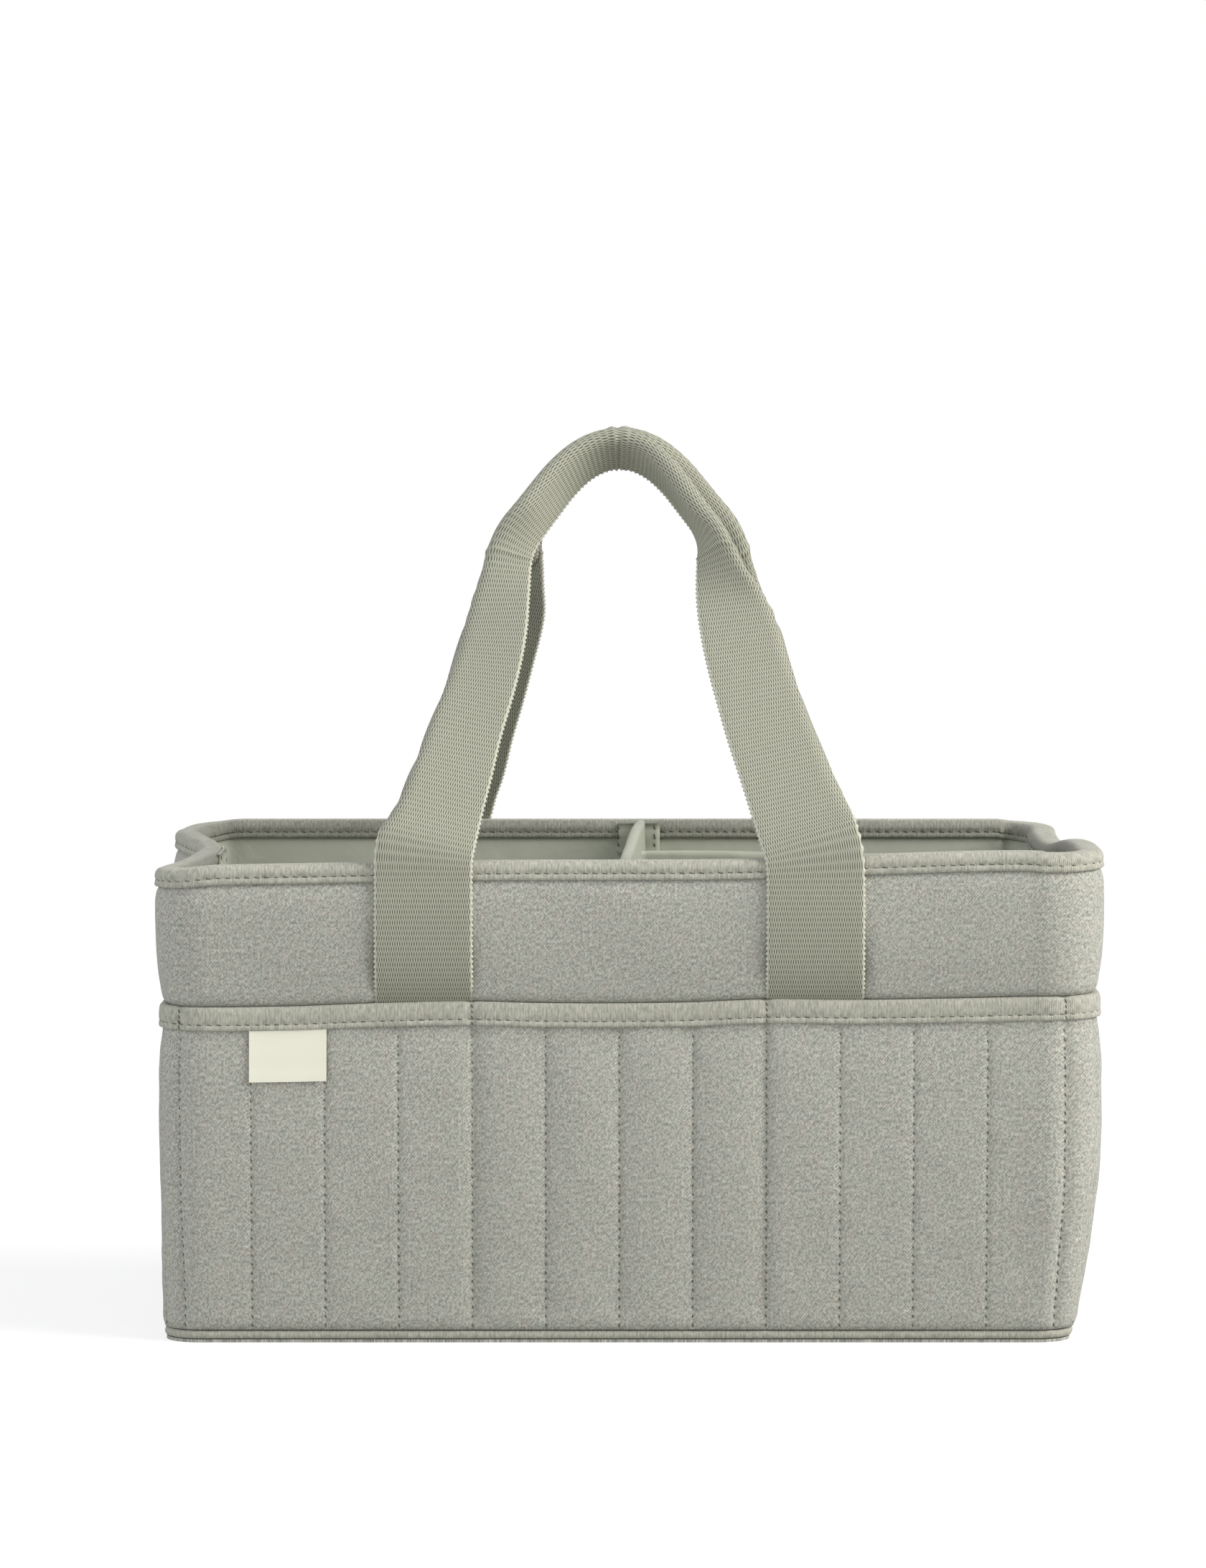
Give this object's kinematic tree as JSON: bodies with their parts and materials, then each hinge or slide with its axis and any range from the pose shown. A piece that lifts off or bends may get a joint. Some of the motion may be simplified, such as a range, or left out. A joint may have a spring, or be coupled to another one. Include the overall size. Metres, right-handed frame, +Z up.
{
  "type": "diaper caddy",
  "caption": "Soft padded fabric caddy with a quilted pocket band, folded webbing handles and a lift-out divider set for changing supplies.",
  "frame": {"origin": "middle of the underside, on the surface that the caddy stands on", "axes": "+Z up, -Y the front with the label, +X to the right seen from the front"},
  "size_m": [0.3768, 0.226, 0.3604],
  "materials": {
    "heather_cloth": "padded heather weave, matte",
    "binding_cloth": "folded binding tape, matte",
    "webbing": "ribbed cotton webbing, matte",
    "lining_cloth": "smooth plain lining, matte",
    "divider_cloth": "smooth plain cloth, matte",
    "loop_tape": "napped fastening tape",
    "label_cloth": "fine woven tape, bare",
    "board": "stiffening board inside the cloth"
  },
  "bodies": {
    "shell": {"base_cover": "heather_cloth", "base_board": "board", "base_piping": "binding_cloth", "outer_cover": "heather_cloth", "lining": "lining_cloth", "rim_binding": "binding_cloth", "pocket_binding": "binding_cloth", "label": "label_cloth", "front_board": "board", "front_pocket_panel": "heather_cloth", "back_board": "board", "back_pocket_panel": "heather_cloth", "left_board": "board", "left_pocket_panel": "heather_cloth", "right_board": "board", "right_pocket_panel": "heather_cloth", "front_loop_tape": "loop_tape", "front_left_strap_tail": "webbing", "front_right_strap_tail": "webbing", "back_loop_tape": "loop_tape", "back_left_strap_tail": "webbing", "back_right_strap_tail": "webbing", "left_loop_tape": "loop_tape", "right_loop_tape": "loop_tape"},
    "front_handle": {"front_handle": "webbing"},
    "back_handle": {"back_handle": "webbing"},
    "cross_divider": {"cross_divider_sleeve": "divider_cloth", "cross_divider_stiffener": "board", "front_divider_tab": "loop_tape", "back_divider_tab": "loop_tape"},
    "long_divider": {"long_divider_sleeve": "divider_cloth", "long_divider_stiffener": "board", "long_divider_tab": "loop_tape"}
  },
  "joints": [
    {"name": "front_handle_fold", "type": "hinge", "parent": "shell", "child": "front_handle", "pos_m": [0, -0.1128, 0.1883], "axis": [1, 0, 0], "range_deg": [0, 180]},
    {"name": "back_handle_fold", "type": "hinge", "parent": "shell", "child": "back_handle", "pos_m": [0, 0.1128, 0.1883], "axis": [-1, 0, 0], "range_deg": [0, 180]},
    {"name": "divider_lift", "type": "slide", "parent": "shell", "child": "cross_divider", "axis": [0, 0, 1], "range_m": [0, 0.12]},
    {"name": "long_divider_swing", "type": "hinge", "parent": "cross_divider", "child": "long_divider", "pos_m": [0.008, 0, 0.1], "axis": [0, 0, 1], "range_deg": [-25, 25]}
  ]
}
